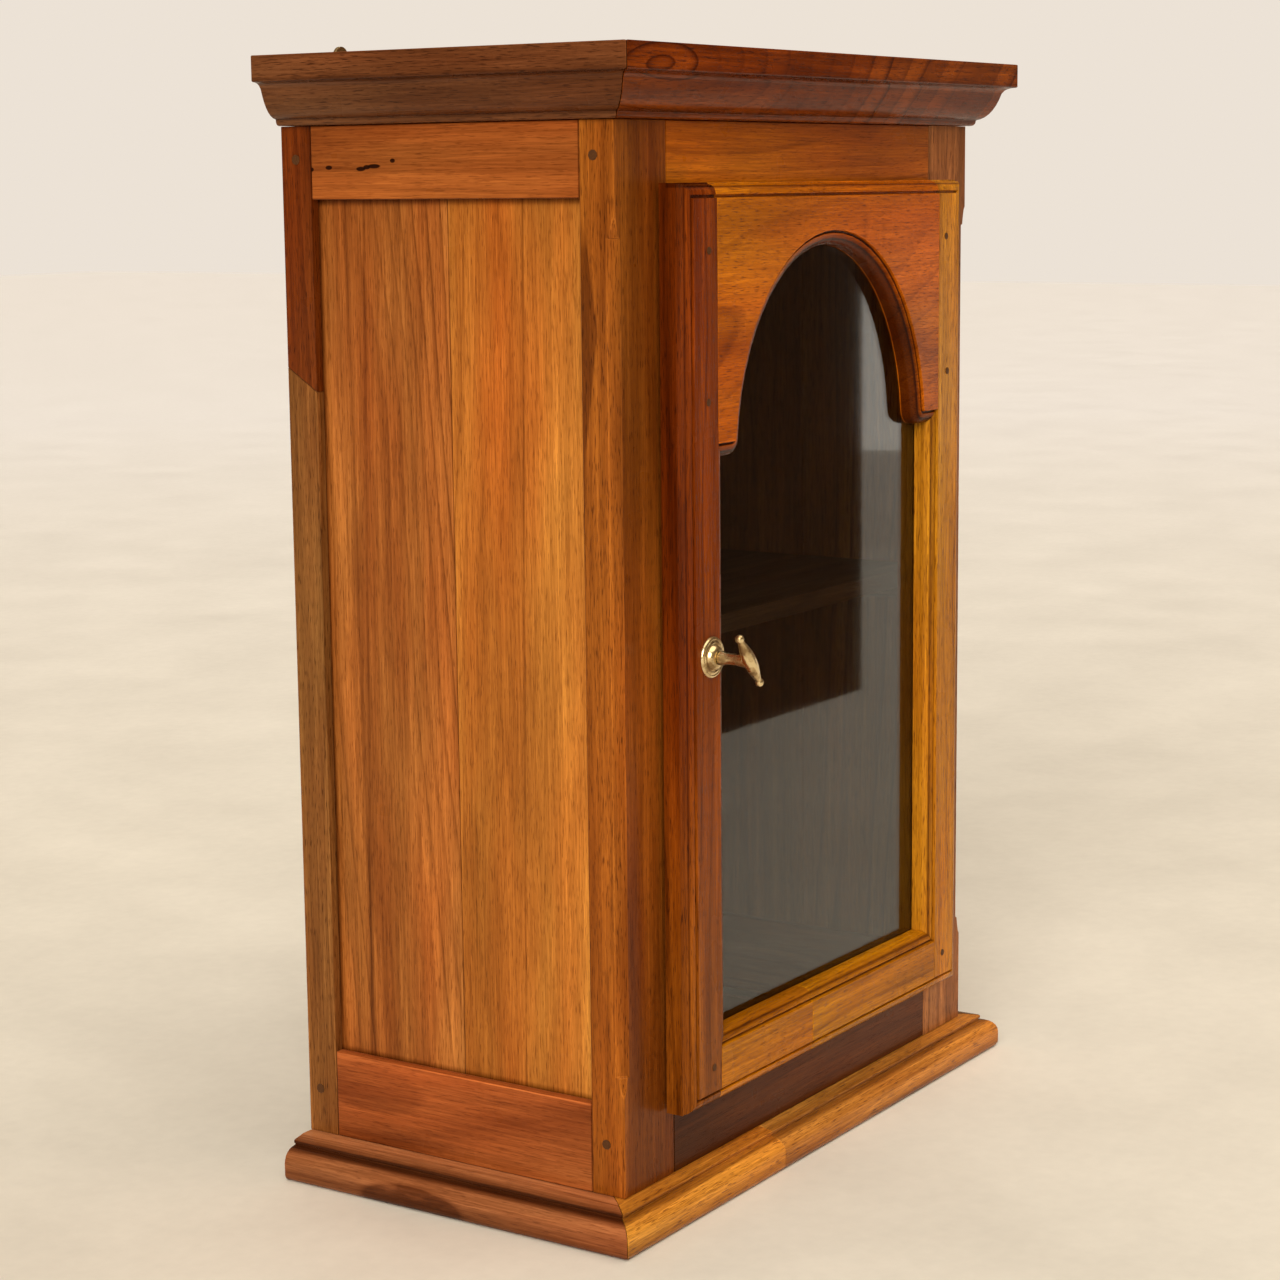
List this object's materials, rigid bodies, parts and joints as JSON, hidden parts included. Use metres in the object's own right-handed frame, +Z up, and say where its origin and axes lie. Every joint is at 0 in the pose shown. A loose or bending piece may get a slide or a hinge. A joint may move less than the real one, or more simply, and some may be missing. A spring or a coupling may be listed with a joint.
{
  "type": "display case",
  "caption": "Small glazed hardwood display case with moulded base and cornice, framed panelled sides, an arched glass door on butt hinges and a brass turn knob.",
  "frame": {"origin": "middle of the carcase, on the underside of the base", "axes": "+Z up; -Y out of the door; +X to the right as seen from the front"},
  "size_m": [0.4908, 0.2957, 0.7095],
  "materials": {
    "walnut": "glossy shellac over orange-brown walnut",
    "dark_walnut": "glossy shellac over dark brown walnut",
    "red_walnut": "shellac over dark reddish walnut",
    "olive_walnut": "shellac over olive-brown walnut",
    "pale_walnut": "glossy shellac over pale orange walnut",
    "inside_board": "dull, thinly finished board",
    "glass": "clear window glass",
    "brass": "aged brass, brown in the recesses"
  },
  "bodies": {
    "case": {"back_board_1": "inside_board", "back_board_2": "inside_board", "back_board_3": "inside_board", "back_bottom_rail": "dark_walnut", "back_top_rail": "dark_walnut", "base_back_rail": "dark_walnut", "base_front_left_moulding": "walnut", "base_front_right_moulding": "walnut", "base_left_moulding": "walnut", "base_right_moulding": "walnut", "bottom_board": "inside_board", "cornice_back_rail": "dark_walnut", "cornice_front": "dark_walnut", "cornice_left": "dark_walnut", "cornice_right": "dark_walnut", "front_bottom_rail": "dark_walnut", "front_left_post": "walnut", "front_right_post": "walnut", "front_top_rail": "walnut", "hanging_plate_left": "brass", "hanging_plate_right": "brass", "hinge_lower_frame_leaf": "brass", "hinge_lower_pin": "brass", "hinge_upper_frame_leaf": "brass", "hinge_upper_pin": "brass", "latch_keeper": "walnut", "left_bottom_rail": "walnut", "left_panel_front_board": "pale_walnut", "left_panel_rear_board": "dark_walnut", "left_shelf_cleat": "inside_board", "left_top_rail": "walnut", "rear_left_post_lower": "olive_walnut", "rear_left_post_upper": "red_walnut", "rear_right_post": "walnut", "right_bottom_rail": "walnut", "right_panel_front_board": "pale_walnut", "right_panel_rear_board": "dark_walnut", "right_shelf_cleat": "inside_board", "right_top_rail": "walnut", "shelf": "inside_board", "top_board": "inside_board"},
    "door": {"door_bottom_rail_left": "dark_walnut", "door_bottom_rail_right": "walnut", "door_left_stile": "walnut", "door_right_stile": "walnut", "door_top_rail": "walnut", "glass_pane": "glass", "glazing_bead_bottom": "walnut", "glazing_bead_left": "walnut", "glazing_bead_right": "walnut", "glazing_bead_top": "walnut", "hinge_lower_door_leaf": "brass", "hinge_upper_door_leaf": "brass", "knob_rosette": "brass"},
    "knob": {"knob": "brass", "knob_spindle": "brass", "latch_tongue": "brass"}
  },
  "joints": [
    {"name": "door_swing", "type": "hinge", "parent": "case", "child": "door", "pos_m": [0.181, -0.1256, 0.346], "axis": [0, 0, 1], "range_deg": [0, 110]},
    {"name": "knob_turn", "type": "hinge", "parent": "door", "child": "knob", "pos_m": [-0.1507, -0.1416, 0.3458], "axis": [0, -1, 0], "range_deg": [0, 90]}
  ]
}
